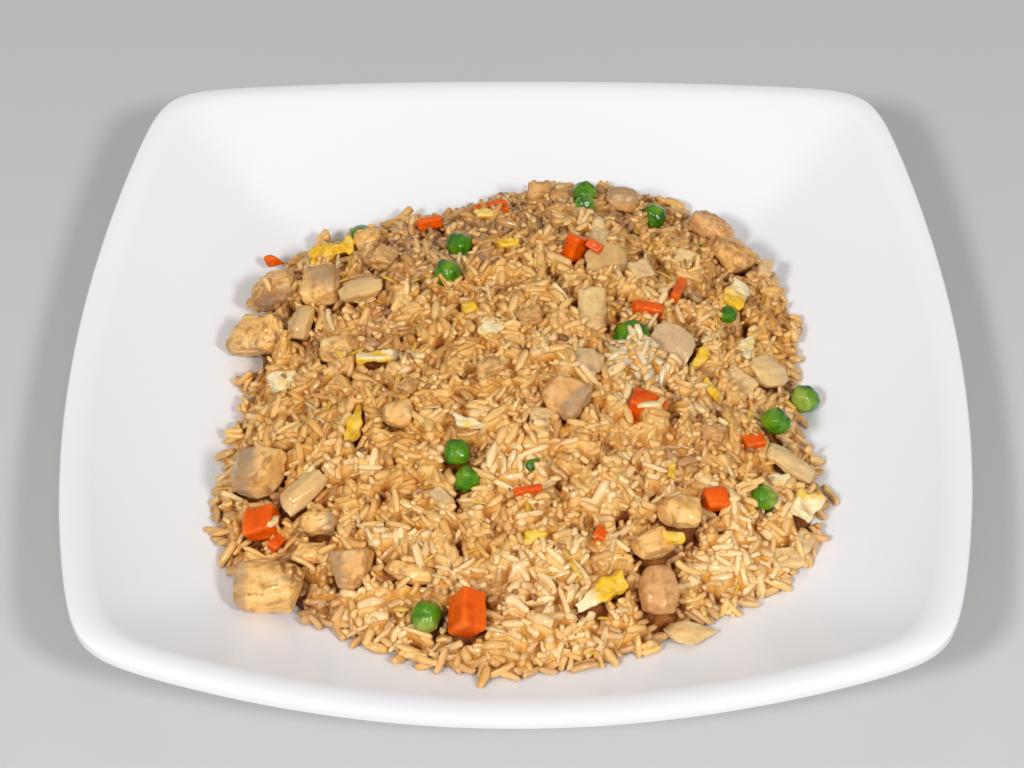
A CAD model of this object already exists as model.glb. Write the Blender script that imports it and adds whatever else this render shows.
"""Fried rice plate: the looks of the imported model.

The plate is turned again at a finer step, the rice heap becomes loose grains over a smaller core, and every
topping is detailed in the place that its solid holds. Small scraps, crumbs and pepper go on top.
"""

import functools
import math
from typing import NamedTuple

import bpy
import numpy as np
from bpy.props import FloatProperty, FloatVectorProperty, IntProperty, PointerProperty
from mathutils import Euler, Matrix, Vector, noise
from mathutils.bvhtree import BVHTree


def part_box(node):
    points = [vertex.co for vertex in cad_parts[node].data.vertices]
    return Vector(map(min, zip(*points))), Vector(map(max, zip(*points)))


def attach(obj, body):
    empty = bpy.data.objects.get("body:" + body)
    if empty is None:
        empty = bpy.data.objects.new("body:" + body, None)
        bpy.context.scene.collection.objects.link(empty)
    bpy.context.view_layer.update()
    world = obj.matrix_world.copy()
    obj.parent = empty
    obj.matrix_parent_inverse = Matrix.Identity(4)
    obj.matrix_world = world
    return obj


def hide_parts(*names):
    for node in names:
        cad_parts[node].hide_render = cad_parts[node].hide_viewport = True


bl_info = {
    "name": "Fried Rice Plate",
    "version": (1, 0, 0),
    "blender": (4, 5, 0),
    "location": "View3D > Sidebar > Fried Rice",
    "description": "Makes a square plate of fried rice: the plate, the grains, the toppings and the stage",
    "category": "Object",
}

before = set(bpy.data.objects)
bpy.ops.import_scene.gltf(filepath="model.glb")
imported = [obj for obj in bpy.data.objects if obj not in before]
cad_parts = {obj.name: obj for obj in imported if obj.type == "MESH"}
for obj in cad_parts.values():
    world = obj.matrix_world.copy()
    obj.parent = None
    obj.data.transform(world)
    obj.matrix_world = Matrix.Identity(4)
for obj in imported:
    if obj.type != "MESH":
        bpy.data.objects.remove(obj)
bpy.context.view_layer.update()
MM = 0.001

PLATE_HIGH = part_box("plate")[1]
HEAP_LOW, HEAP_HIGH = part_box("rice_heap")

# Plate: a bowed square with rounded corners that turn up, on a ring foot
SIDE_BOW = 22 * MM
CORNER_SHARPNESS = 29
CORNER_LIFT = 8 * MM
WELL_HEIGHT = 7 * MM
WALL = 4 * MM
LIP_WIDTH = 5 * MM
LIP_DEPTH = 4.2 * MM
LIP_ROUND = 0.8 * MM
COUPE_POWER = 3.2
FOOT_OUTER = 0.56
FOOT_INNER = 0.51
CORNER_CROWDING = 0.45
PLATE_SECTORS = 240
PLATE_RINGS = 34
OIL_REACH = 13 * MM  # how far the oil has spread past the rice

# Rice
CELL = 0.5 * MM  # of the height maps that the grains are laid on
MARGIN = 16 * MM  # of the maps round the heap
UNFRIED_RICE = (0.72, 0.57, 0.35)  # a clump that the sauce hasn't reached
DULL_RICE = (0.45, 0.27, 0.15)  # where broth has greyed it
WARM_SHEEN = (1, 0.8, 0.5, 1)
CORE_COLUMNS = 240
CORE_ROWS = 180
CORE_UNDER_TOPPING = 3.2 * MM  # how far the core lies under the heap's outline below a topping
CORE_THINNEST = 3.4 * MM  # where the rice gets thinner, the core ends
LAYERS = (6.0, 4.4, 2.9, 1.4, 0.0)  # mm under the heap's outline, in the order that they are laid
GRAIN_WINDOW = 11  # cells on each side of a grain's middle that it can reach
GRAIN_BENDS = (0.0, 0.3, -0.25, 0.6, 0.1, -0.1, 0.45, 0.2, -0.35)  # one grain shape for each
STANDING_SHARE = 0.58  # of the grains, which lean far more than the rest
SINKING = 36  # percentile of the bed's bumps that a grain rests on
MOST_ON_TOPPING = 0.34  # share of a grain that may lie over a topping
LOOSE_SPREAD = 1.1 * MM  # mean distance of a loose grain from the heap
LOOSE_REACH = 3.5 * MM
STICKY_CHUNKS = tuple(f"chicken_{number}" for number in (2, 4, 5, 8, 9, 10, 11))
TINT_BORDERS = (0.26, 0.5, 0.63, 0.8)  # between the kinds of grain, from toasted to pale

# Seasoning
PEPPER_SPECKS = 260
TOASTED_CRUMBS = 170
EGG_SHREDS = 90

# Camera
CAMERA_TARGET = Vector((-1.3, 2.03, 13.64)) * MM
CAMERA_YAW = math.radians(0.82)
CAMERA_ROLL = math.radians(-0.57)


class Patch(NamedTuple):
    """A round place on the heap (mm) where the rice is raised, or covers a topping, or differs in tint."""

    x: float
    y: float
    radius: float
    amount: float


COVERS = (
    Patch(36, -13, 6, 2.2),
    Patch(39, -41, 5, 1.5),
    Patch(75.5, -56, 2.5, 1.2),
    Patch(-66, -67, 3, 1),
    Patch(-39, -72, 5, 1.2),
)
PALE_CLUMPS = (
    Patch(39, -12, 9, 0.55),
    Patch(-79, -42, 10, 0.3),
    Patch(-2, -58, 7, 0.35),
    Patch(62, -75, 14, 0.2),
    Patch(10, -95, 16, 0.15),
)
UNFRIED_CLUMPS = (
    Patch(34, -15, 9, 1.1),
    Patch(41, -21, 6, 0.8),
)
DARK_PATCHES = (
    Patch(-28, 36, 26, 0.9),
    Patch(-45, 0, 14, 0.5),
    Patch(0, 66, 26, 0.7),
    Patch(40, 62, 20, 0.5),
    Patch(62, 24, 14, 0.4),
    Patch(47, -44, 10, 0.6),
    Patch(-24, -60, 7, 0.4),
)


class Scrap(NamedTuple):
    """A small scrap's place (mm), lift above the rice, turn and pitch (degrees), and size."""

    x: float
    y: float
    lift: float
    turn: float
    pitch: float
    length: float
    width: float
    height: float


PEA_SCRAPS = (
    Scrap(63.3, 14.5, -0.6, 20, 0, 7.5, 6, 6),
    Scrap(5.4, -57.8, -0.4, 40, 10, 5.5, 4, 3.5),
    Scrap(56.7, 50.7, -0.4, 70, 10, 5, 3, 3),
)
CARROT_SCRAPS = (
    Scrap(68.3, -37.1, 0.3, 20, 10, 6, 4, 3),
    Scrap(23.5, -74.8, 0.2, 70, 20, 4.5, 3.5, 3),
    Scrap(3.8, -67, 0.3, 15, 5, 8, 2.2, 2),
    Scrap(-66.5, -70.4, 0.5, 60, 20, 5, 3, 3),
    Scrap(23.5, 29.5, 0.4, -30, 40, 5, 3, 3),
    Scrap(-5.2, 63.5, 0.8, 15, 0, 5, 3, 2.5),
    Scrap(34, -40.5, 0.4, 75, 0, 5, 2.4, 2.4),
)
CHICKEN_SCRAPS = (
    Scrap(-40.1, 33.5, 0.5, 70, 10, 7.5, 6, 5),
    Scrap(7.2, 74, 1.5, 10, 0, 7, 5, 5),
    Scrap(14, 72, 1.0, -30, 0, 6, 5, 4.5),
    Scrap(-7.1, -27.2, 0.2, 30, 5, 6, 4.5, 4),
    Scrap(-30, -30, 0.2, 60, 0, 6, 4, 3.5),
    Scrap(4, -5, 0.2, 10, 5, 6.5, 5, 4),
    Scrap(56, -39, 0.3, -20, 0, 6, 5, 4),
    Scrap(-6, -91, 0.4, 15, 0, 7, 4, 3.5),
    Scrap(50, 47, 0.6, 15, 0, 6.5, 5, 4.5),
)
ONION_SCRAPS = (
    Scrap(65.3, -10.6, 0.5, -40, 20, 10, 8, 2),
    Scrap(76.4, -70.8, 0.8, 10, 10, 9, 6, 2.2),
    Scrap(37.1, 21, 0.5, 30, 20, 6.5, 6, 2.2),
    Scrap(51.2, 36.4, 0.6, -20, 20, 6, 5, 2.2),
    Scrap(77, 42, 1.5, 80, 20, 8, 4, 2.5),
    Scrap(25, 37, 0.8, 85, 30, 9, 4.5, 3),
    Scrap(81, -66, 1, 60, 10, 7, 5, 2.2),
    Scrap(8, -40, 0.3, 15, 10, 8, 4, 2),
    Scrap(-20, -66, 0.3, -50, 10, 7, 4, 2),
)
EGG_SCRAPS = (
    Scrap(-6.5, -10, 0.3, 55, 15, 8, 5, 2),
    Scrap(-69, -7.4, -0.2, 20, 10, 9, 5.5, 1.6),
    Scrap(74.7, -47.8, 0.4, 10, 10, 7, 4.5, 2),
    Scrap(53.9, -8.1, 0.5, 60, 10, 9, 3, 2.2),
    Scrap(44, -53.6, 0.5, 85, 10, 8, 1.8, 1.5),
    Scrap(43.4, -76.7, 0.5, 0, 10, 6, 3.5, 2.2),
    Scrap(-13.3, 1.5, 0.6, 20, 0, 4.5, 3.5, 2.5),
    Scrap(-12.5, -44, 0.6, -10, 15, 8.5, 3, 1.8),
    Scrap(-10.1, 59.3, 0.6, 10, 0, 6, 3, 2),
    Scrap(-2.5, 31.8, 0.6, 20, 10, 7, 2.5, 2),
    Scrap(68.3, 5.5, 0.6, 70, 10, 9, 4, 2.2),
    Scrap(6, -80.6, 0.4, 30, 10, 6, 2.5, 1.8),
    Scrap(56.4, -19.1, 0.5, -60, 10, 8, 2.2, 1.8),
    Scrap(-49, 45, 0.3, -35, 20, 6.5, 2.8, 1.8),
)
WHITE_EGG_SCRAPS = (1, 2, 3, 8, 11)  # by their numbers in the list above


# ---------------------------------------------------------------- settings


COLOUR = {"subtype": "COLOR", "size": 3, "min": 0, "max": 1}


class PlateSettings(bpy.types.PropertyGroup):
    """The plate's look."""

    glaze: FloatVectorProperty(
        name="Glaze", description="Colour of the plate", default=(0.905, 0.907, 0.93), **COLOUR
    )
    oil: FloatVectorProperty(
        name="Oil", description="Tint that oil leaves on the plate", default=(0.84, 0.76, 0.64), **COLOUR
    )


class RiceSettings(bpy.types.PropertyGroup):
    """Sizes and colours of the grains and the core under them."""

    grain_length: FloatProperty(
        name="Grain Length", description="Mean length of a cooked grain", unit="LENGTH", default=6.9 * MM
    )
    grain_width: FloatProperty(
        name="Grain Width", description="Mean width of a cooked grain", unit="LENGTH", default=2.85 * MM
    )
    sticking: FloatProperty(
        name="Sticking", description="Depth of gaps between stuck grains", unit="LENGTH", default=0.75 * MM
    )
    lumpiness: FloatProperty(
        name="Lumpiness", description="How far clumps stand up or lie low", unit="LENGTH", default=4.1 * MM
    )
    pit_depth: FloatProperty(
        name="Pit Depth", description="Depth of the holes between clumps", unit="LENGTH", default=5.2 * MM
    )
    loose_count: IntProperty(name="Loose Grains", description="Grains that lie beside the heap", default=115)
    stuck_count: IntProperty(name="Stuck Grains", description="Grains that stick to the meat", default=20)
    crumb_count: IntProperty(name="Rice Crumbs", description="Broken bits of grain on the heap", default=800)
    seed: IntProperty(name="Seed", description="Start of the random numbers", default=7)
    pale: FloatVectorProperty(
        name="Pale Rice", description="Colour of the lightest grains", default=(0.87, 0.6, 0.265), **COLOUR
    )
    golden: FloatVectorProperty(
        name="Golden Rice", description="Colour of most grains", default=(0.79, 0.42, 0.1), **COLOUR
    )
    stained: FloatVectorProperty(
        name="Stained Rice", description="Colour from the sauce", default=(0.48, 0.165, 0.008), **COLOUR
    )


class ToppingSettings(bpy.types.PropertyGroup):
    """Colours of the toppings."""

    pea: FloatVectorProperty(
        name="Pea", description="Colour of a pea's skin", default=(0.06, 0.215, 0.001), **COLOUR
    )
    carrot: FloatVectorProperty(
        name="Carrot", description="Colour of a carrot's cut face", default=(0.8, 0.1, 0.0), **COLOUR
    )
    chicken: FloatVectorProperty(
        name="Chicken", description="Colour of the meat", default=(0.92, 0.52, 0.16), **COLOUR
    )
    browned: FloatVectorProperty(
        name="Browned Chicken", description="Colour of fried edges", default=(0.3, 0.12, 0.03), **COLOUR
    )
    onion: FloatVectorProperty(
        name="Onion", description="Colour of the soft onion", default=(0.84, 0.58, 0.24), **COLOUR
    )
    egg: FloatVectorProperty(
        name="Egg", description="Colour of the yellow egg", default=(0.92, 0.54, 0.03), **COLOUR
    )
    egg_white: FloatVectorProperty(
        name="Egg White", description="Colour of the set egg white", default=(0.88, 0.73, 0.44), **COLOUR
    )


class StageSettings(bpy.types.PropertyGroup):
    """The floor, the lights and the camera."""

    floor: FloatVectorProperty(
        name="Floor", description="Colour of the floor", default=(0.6, 0.59, 0.58), **COLOUR
    )
    lamp_power: FloatProperty(
        name="Lamp Power", description="Power of a lamp at its full share", unit="POWER", default=10.7
    )
    sky: FloatProperty(name="Sky", description="Strength of the even light from all round", default=0.32)
    lens: FloatProperty(name="Lens", description="Focal length in mm on a 36 mm sensor", default=87.15)
    distance: FloatProperty(
        name="Distance", description="From the camera to its target", unit="LENGTH", default=747.9 * MM
    )
    elevation: FloatProperty(
        name="Elevation", description="Rise over the floor", subtype="ANGLE", default=math.radians(45.59)
    )


# ---------------------------------------------------------------- plate's shape


PLATE_HALF = PLATE_HIGH.x
LIP_SHARE = 1 - LIP_WIDTH / PLATE_HALF


def side_reach(along, across):
    """Distance from the centre to a bowed side, in directions given by their two cosines."""
    bend = SIDE_BOW * np.maximum(across * across, 1e-9) / PLATE_HALF**2
    return (np.sqrt(along * along + 4 * bend * PLATE_HALF) - along) / (2 * bend)


def plate_reach(angle):
    """Distance from the centre to the plate's edge."""
    along, across = np.abs(np.cos(angle)), np.abs(np.sin(angle))
    sides = side_reach(along, across) ** -CORNER_SHARPNESS + side_reach(across, along) ** -CORNER_SHARPNESS
    return sides ** (-1 / CORNER_SHARPNESS)


CORNER_REACH = plate_reach(math.pi / 4)


def corner_rise(angle, share):
    """How much higher the plate stands than at the middle of a side."""
    towards_corner = (plate_reach(angle) - PLATE_HALF) / (CORNER_REACH - PLATE_HALF)
    outward = (np.minimum(share, LIP_SHARE) - FOOT_OUTER) / (LIP_SHARE - FOOT_OUTER)
    return CORNER_LIFT * towards_corner * np.maximum(outward, 0) ** 2


RIM_HEIGHT = PLATE_HIGH.z - CORNER_LIFT


def coupe_height(share):
    """Height of the eating surface at the middle of a side, by the share of the way to the edge."""
    outward = np.minimum(share, LIP_SHARE) / LIP_SHARE
    return WELL_HEIGHT + (RIM_HEIGHT - WELL_HEIGHT) * outward**COUPE_POWER


def plate_surface(x, y):
    """Height of the plate's eating surface."""
    angle = np.arctan2(y, x)
    share = np.hypot(x, y) / plate_reach(angle)
    return coupe_height(share) + corner_rise(angle, share)


# ---------------------------------------------------------------- modelling by hand


def deselect():
    if bpy.context.mode != "OBJECT":
        bpy.ops.object.mode_set(mode="OBJECT")
    bpy.ops.object.select_all(action="DESELECT")


def activate(obj):
    deselect()
    obj.select_set(True)
    bpy.context.view_layer.objects.active = obj


def add_primitive(name, adder, **options):
    """A new primitive, alone in the selection."""
    deselect()
    adder(**options)
    obj = bpy.context.active_object
    obj.name = obj.data.name = name
    return obj


def edit_all(obj, *steps):
    """Runs edit-mode steps on everything in the mesh. A step is an operator and its options."""
    activate(obj)
    bpy.ops.object.mode_set(mode="EDIT")
    bpy.ops.mesh.select_all(action="SELECT")
    for operator, options in steps:
        operator(**options)
    bpy.ops.object.mode_set(mode="OBJECT")


def apply_modifiers(obj):
    activate(obj)
    for modifier in list(obj.modifiers):
        bpy.ops.object.modifier_apply(modifier=modifier.name)


def subdivide_smooth(obj, levels):
    surface = obj.modifiers.new("smooth_surface", "SUBSURF")
    surface.levels = surface.render_levels = levels


def displace(obj, name, size, strength):
    """Adds a Displace modifier whose bumps are about size apart."""
    texture = bpy.data.textures.new(name, "CLOUDS")
    texture.noise_scale = size
    texture.noise_depth = 2
    bumps = obj.modifiers.new(name, "DISPLACE")
    bumps.texture = texture
    bumps.texture_coords = "LOCAL"
    bumps.strength = strength


def relax(obj, rounds):
    """Adds a Smooth modifier that evens out the surface."""
    smoothing = obj.modifiers.new("relax", "SMOOTH")
    smoothing.iterations = rounds


def points_of(obj):
    places = np.empty(len(obj.data.vertices) * 3, np.float32)
    obj.data.vertices.foreach_get("co", places)
    return places.reshape(-1, 3).astype(float)


def set_points(obj, places):
    obj.data.vertices.foreach_set("co", np.asarray(places, np.float32).ravel())
    obj.data.update()


def store(mesh, name, kind, values):
    """Adds an attribute with a value for each point."""
    layer = mesh.attributes.new(name, kind, "POINT")
    field = "vector" if kind == "FLOAT_VECTOR" else "value"
    numbers = np.asarray(values, np.int32 if kind == "INT" else np.float32)
    layer.data.foreach_set(field, numbers.ravel())


def paint(obj, name, values):
    """Stores a number for each point, or one for all, for the material to read."""
    store(obj.data, name, "FLOAT", np.broadcast_to(values, len(obj.data.vertices)))


def smooth_faces(obj, angle=None):
    activate(obj)
    if angle is None:
        bpy.ops.object.shade_smooth()
    else:
        bpy.ops.object.shade_smooth_by_angle(angle=angle)


def finish_piece(obj, material, slot, *nodes):
    """Gives a piece its material and its place in the frame, in the stead of the CAD nodes named."""
    obj.data.materials.clear()
    obj.data.materials.append(material)
    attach(obj, "root")
    if nodes:
        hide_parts(*nodes)


# ---------------------------------------------------------------- materials


def smoothstep(values, low, high):
    share = np.clip((values - low) / (high - low), 0, 1)
    return share * share * (3 - 2 * share)


class Finish:
    """A material under construction: its Principled shader and short ways to add nodes."""

    def __init__(self, name, roughness=0.5, **sockets):
        self.material = bpy.data.materials.new(name)
        self.material.use_nodes = True
        self.tree = self.material.node_tree
        self.shader = self.tree.nodes["Principled BSDF"]
        self.shader.inputs["Roughness"].default_value = roughness
        for socket, value in sockets.items():
            self.shader.inputs[socket.replace("_", " ")].default_value = value
        self.coordinates = self.tree.nodes.new("ShaderNodeTexCoord").outputs["Object"]

    def node(self, kind, **settings):
        made = self.tree.nodes.new(kind)
        for setting, value in settings.items():
            setattr(made, setting, value)
        return made

    def link(self, source, target):
        self.tree.links.new(source, target)

    def attribute(self, name):
        return self.node("ShaderNodeAttribute", attribute_name=name).outputs["Fac"]

    def noise(self, scale, detail=3.0, stretch=None, distortion=0.0, vector=None):
        """Noise of so many bumps a metre, from 0 to 1. Stretch squeezes it along each axis."""
        vector = vector or self.coordinates
        if stretch:
            mapping = self.node("ShaderNodeMapping")
            mapping.inputs["Scale"].default_value = stretch
            self.link(vector, mapping.inputs["Vector"])
            vector = mapping.outputs["Vector"]
        texture = self.node("ShaderNodeTexNoise")
        texture.inputs["Scale"].default_value = scale
        texture.inputs["Detail"].default_value = detail
        texture.inputs["Distortion"].default_value = distortion
        self.link(vector, texture.inputs["Vector"])
        return texture.outputs["Fac"]

    def ramp(self, source, *stops):
        """Colours by a value: each stop is a place and a colour."""
        ramp = self.node("ShaderNodeValToRGB")
        marks = ramp.color_ramp.elements
        while len(marks) < len(stops):
            marks.new(0.5)
        for mark, (place, colour) in zip(marks, stops):
            mark.position = place
            mark.color = (*colour, 1)
        self.link(source, ramp.inputs["Fac"])
        return ramp.outputs["Color"]

    def remap(self, source, low, high, to_low=0.0, to_high=1.0):
        span = self.node("ShaderNodeMapRange")
        for place, value in enumerate((low, high, to_low, to_high), 1):
            span.inputs[place].default_value = value
        self.link(source, span.inputs[0])
        return span.outputs[0]

    def math(self, operation, first, second):
        made = self.node("ShaderNodeMath", operation=operation)
        for socket, value in zip(made.inputs, (first, second)):
            if isinstance(value, bpy.types.NodeSocket):
                self.link(value, socket)
            else:
                socket.default_value = value
        return made.outputs[0]

    def patchy(self, name, scale, detail, *spans):
        """An attribute broken up by noise, whose spans are those of remap."""
        return self.math("MULTIPLY", self.attribute(name), self.remap(self.noise(scale, detail), *spans))

    def mix(self, share, first, second):
        made = self.node("ShaderNodeMix", data_type="RGBA")
        for socket, value in ((made.inputs[0], share), (made.inputs[6], first), (made.inputs[7], second)):
            if isinstance(value, bpy.types.NodeSocket):
                self.link(value, socket)
            elif socket.type == "RGBA":
                socket.default_value = (*value, 1)
            else:
                socket.default_value = value
        return made.outputs[2]

    def bump(self, source, depth, strength=1.0):
        """Relief of the given depth in metres. A second call adds to the first."""
        made = self.node("ShaderNodeBump")
        made.inputs["Strength"].default_value = strength
        made.inputs["Distance"].default_value = depth
        self.link(source, made.inputs["Height"])
        before = self.shader.inputs["Normal"].links
        if before:
            self.link(before[0].from_socket, made.inputs["Normal"])
        self.link(made.outputs["Normal"], self.shader.inputs["Normal"])

    def finish(self, colour, roughness=None):
        self.link(colour, self.shader.inputs["Base Color"])
        if roughness:
            self.link(roughness, self.shader.inputs["Roughness"])
        return self.material


def soft(weight, depth=1.6):
    """Sockets of a moist food that light enters to some depth (mm)."""
    return {
        "Subsurface_Weight": weight,
        "Subsurface_Radius": (1.0, 0.92, 0.85),
        "Subsurface_Scale": depth * MM,
    }


def wet(weight, roughness):
    """Sockets of a thin film of oil or broth."""
    return {"Coat_Weight": weight, "Coat_Roughness": roughness}


def darker(colour, share):
    return tuple(channel * share for channel in colour)


def blended(first, second, share):
    return tuple(a + (b - a) * share for a, b in zip(first, second))


# ---------------------------------------------------------------- height maps


def map_axes():
    xs = np.arange(HEAP_LOW.x - MARGIN, HEAP_HIGH.x + MARGIN, CELL)
    ys = np.arange(HEAP_LOW.y - MARGIN, HEAP_HIGH.y + MARGIN, CELL)
    return xs, ys


def tree_of(nodes):
    points, faces = [], []
    for node in nodes:
        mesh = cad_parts[node].data
        start = len(points)
        points.extend(vertex.co.copy() for vertex in mesh.vertices)
        faces.extend([start + corner for corner in polygon.vertices] for polygon in mesh.polygons)
    return BVHTree.FromPolygons(points, faces)


def heights_from(tree, xs, ys):
    """Height of what a tree holds over each cell, or -1 where it holds nothing."""
    down = Vector((0, 0, -1))
    heights = np.full((len(ys), len(xs)), -1.0)
    for row, y in enumerate(ys):
        for column, x in enumerate(xs):
            place = tree.ray_cast((x, y, 0.2), down)[0]
            if place:
                heights[row, column] = place.z
    return heights


def blurred(values, cells):
    """Box blur, run twice along each axis."""
    width = 2 * cells + 1
    for axis in (0, 1, 0, 1):
        padding = [(0, 0), (0, 0)]
        padding[axis] = (cells + 1, cells)
        total = np.cumsum(np.pad(values, padding, mode="edge"), axis=axis)
        ends = np.take(total, range(width, total.shape[axis]), axis)
        starts = np.take(total, range(total.shape[axis] - width), axis)
        values = (ends - starts) / width
    return values


def filled(values, hole):
    """The values with each hole bridged from its edges."""
    values = values.copy()
    values[hole] = values[~hole].mean()
    weight = (~hole).astype(float)
    for cells in (24, 12, 6, 3, 3):
        spread = blurred(values * weight, cells) / np.maximum(blurred(weight, cells), 1e-6)
        values[hole] = spread[hole]
        weight = np.where(hole, 0.3, 1.0)
    return values


def rough_map(xs, ys, spacing, offset):
    """Even noise over the maps, from about -1 to 1."""
    step = 4
    coarse = np.array(
        [[noise.noise(Vector((x / spacing, y / spacing, offset))) for x in xs[::step]] for y in ys[::step]]
    )
    rows = np.linspace(0, coarse.shape[0] - 1, len(ys))
    columns = np.linspace(0, coarse.shape[1] - 1, len(xs))
    row = np.minimum(rows.astype(int), coarse.shape[0] - 2)
    column = np.minimum(columns.astype(int), coarse.shape[1] - 2)
    up, over = (rows - row)[:, None], (columns - column)[None, :]
    near = coarse[row][:, column] * (1 - over) + coarse[row][:, column + 1] * over
    far = coarse[row + 1][:, column] * (1 - over) + coarse[row + 1][:, column + 1] * over
    return near * (1 - up) + far * up


def patch_map(xs, ys, patches):
    """Sum of soft round patches, each up to its amount."""
    total = np.zeros((len(ys), len(xs)))
    for patch in patches:
        away = np.hypot(xs[None, :] - patch.x * MM, ys[:, None] - patch.y * MM) / (patch.radius * MM)
        total += patch.amount * (1 - smoothstep(away, 0.55, 1.15))
    return total


@functools.lru_cache(maxsize=None)
def ground():
    """The maps that the grains are laid on.

    They are the two axes, the heights of the plate, of the heap's outline and of the toppings, and the cells
    where toppings and where rice lie.
    """
    xs, ys = map_axes()
    plate = plate_surface(xs[None, :], ys[:, None])
    toppings = [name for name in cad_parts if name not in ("plate", "rice_heap")]
    heap = heights_from(tree_of(["rice_heap"]), xs, ys)
    tops = heights_from(tree_of(toppings), xs, ys)
    in_heap = heap > 0
    on_topping = tops > np.where(in_heap, heap, plate)
    on_topping = blurred(on_topping.astype(float), 1) > 0.62
    outline = filled(np.where(in_heap, heap, plate), on_topping & in_heap)
    outline = np.where(in_heap | on_topping, outline, plate)
    return xs, ys, plate, outline, tops, on_topping, in_heap


# ---------------------------------------------------------------- laying the grains


class Laid(NamedTuple):
    """Grains as laid: middles, turns as Euler angles, and half length and half width."""

    places: list
    turns: list
    sizes: list


class Bed:
    """The surface that grains are laid on, which each grain raises."""

    def __init__(self, start, plate, on_topping, rng):
        self.height = start
        self.plate = plate
        self.on_topping = on_topping
        self.rng = rng
        self.xs, self.ys = map_axes()
        steps = np.arange(-GRAIN_WINDOW, GRAIN_WINDOW + 1) * CELL
        self.dx, self.dy = np.meshgrid(steps, steps)
        self.laid = Laid([], [], [])

    def window(self, row, column):
        return (
            slice(row - GRAIN_WINDOW, row + GRAIN_WINDOW + 1),
            slice(column - GRAIN_WINDOW, column + GRAIN_WINDOW + 1),
        )

    def inside(self, row, column):
        edge = GRAIN_WINDOW + 1
        return edge <= row < len(self.ys) - edge and edge <= column < len(self.xs) - edge

    def lay(self, row, column, half_length, half_width, ceiling, wobble, over_toppings=False):
        """Lays one grain in the cell, leaning as the bed does there. Returns whether it fitted."""
        if not self.inside(row, column):
            return False
        window = self.window(row, column)
        bed = self.height[window]
        topping = self.on_topping[window]
        yaw = self.rng.uniform(0, math.pi)
        along = self.dx * math.cos(yaw) + self.dy * math.sin(yaw)
        across = self.dy * math.cos(yaw) - self.dx * math.sin(yaw)
        under = (along / half_length) ** 2 + (across / half_width) ** 2 < 1
        on_share = topping[under].mean()
        if on_share > MOST_ON_TOPPING and not over_toppings:
            return False
        bearing = under if over_toppings else under & ~topping
        rise, run = bed[bearing], along[bearing]
        run = run - run.mean()
        slope = ((rise - rise.mean()) * run).sum() / max((run * run).sum(), 1e-12)
        if self.rng.random() < STANDING_SHARE:
            wobble *= 2.9
        pitch = float(np.clip(math.atan(slope) * 0.9 + self.rng.normal(0, wobble), -1.2, 1.2))
        cosine, sine = math.cos(pitch), math.sin(pitch)
        long2, wide2 = half_length**-2, half_width**-2
        a = sine * sine * long2 + cosine * cosine * wide2
        b = 2 * along * sine * cosine * (long2 - wide2)
        c = along**2 * (cosine**2 * long2 + sine**2 * wide2) + across**2 * wide2 - 1
        root = b * b - 4 * a * c
        covers = root > 0
        root = np.sqrt(np.maximum(root, 0))
        bottom, top = (-b - root) / (2 * a), (-b + root) / (2 * a)
        bearing = covers if over_toppings else covers & ~topping
        if bearing.sum() < 12:
            return False
        middle = float(np.percentile((bed - bottom)[bearing], SINKING))
        middle = max(middle, float((self.plate[window] - bottom)[covers].max()) + 0.05 * MM)
        if middle + half_width * 0.6 > ceiling:
            return False
        raised = np.where(covers & ~topping, np.maximum(bed, middle + top), bed)
        self.height[window] = raised
        self.laid.places.append((self.xs[column], self.ys[row], middle))
        self.laid.turns.append((self.rng.uniform(0, math.tau), -pitch, yaw))
        self.laid.sizes.append((half_length, half_width))
        return True


def grain_size(settings, rng):
    """Half length and half width of one grain."""
    length = settings.grain_length * float(np.clip(rng.normal(1, 0.2), 0.45, 1.3))
    width = settings.grain_width * float(np.clip(rng.normal(1, 0.12), 0.75, 1.3))
    return length / 2, width / 2


@functools.lru_cache(maxsize=None)
def laid_rice():
    """All grains in the heap and beside it, and the height of the finished rice."""
    settings = bpy.context.scene.fried_rice_grains
    rng = np.random.default_rng(settings.seed)
    xs, ys, plate, outline, tops, on_topping, in_heap = ground()
    lumps = rough_map(xs, ys, 9 * MM, 3.7) + 0.8 * rough_map(xs, ys, 4.5 * MM, 8.1)
    depth = outline - plate
    edge_fade = smoothstep(depth, 2 * MM, 12 * MM)
    covers = patch_map(xs, ys, COVERS) * MM
    blocked = on_topping & (covers < 0.4 * MM)
    pits = smoothstep(rough_map(xs, ys, 6.5 * MM, 5.9), 0.2, 0.65)
    raised = settings.lumpiness * lumps * (0.35 + 0.65 * edge_fade)
    sunk = settings.pit_depth * pits * edge_fade
    target = np.where(on_topping, tops, outline + raised - sunk) + covers
    target[blocked] = 0
    start = np.maximum(plate, outline - (LAYERS[0] + 2.2) * MM)
    start = np.where(on_topping, np.maximum(start, tops - 0.5 * MM), start)
    bed = Bed(start, plate, blocked, rng)
    least_room = settings.grain_width * 0.45
    for layer in LAYERS:
        ceiling = target - layer * MM
        rows, columns = np.nonzero((ceiling - bed.height > least_room) & (in_heap | on_topping))
        for cell in rng.permutation(len(rows)):
            row, column = rows[cell], columns[cell]
            if ceiling[row, column] - bed.height[row, column] < least_room:
                continue
            half_length, half_width = grain_size(settings, rng)
            top = ceiling[row, column] + 0.3 * half_width
            bed.lay(row, column, half_length, half_width, top, math.radians(15))
    lay_stuck(bed, settings, rng, in_heap)
    heap_count = len(bed.laid.places)
    lay_loose(bed, settings, rng, in_heap)
    return bed, heap_count


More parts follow.
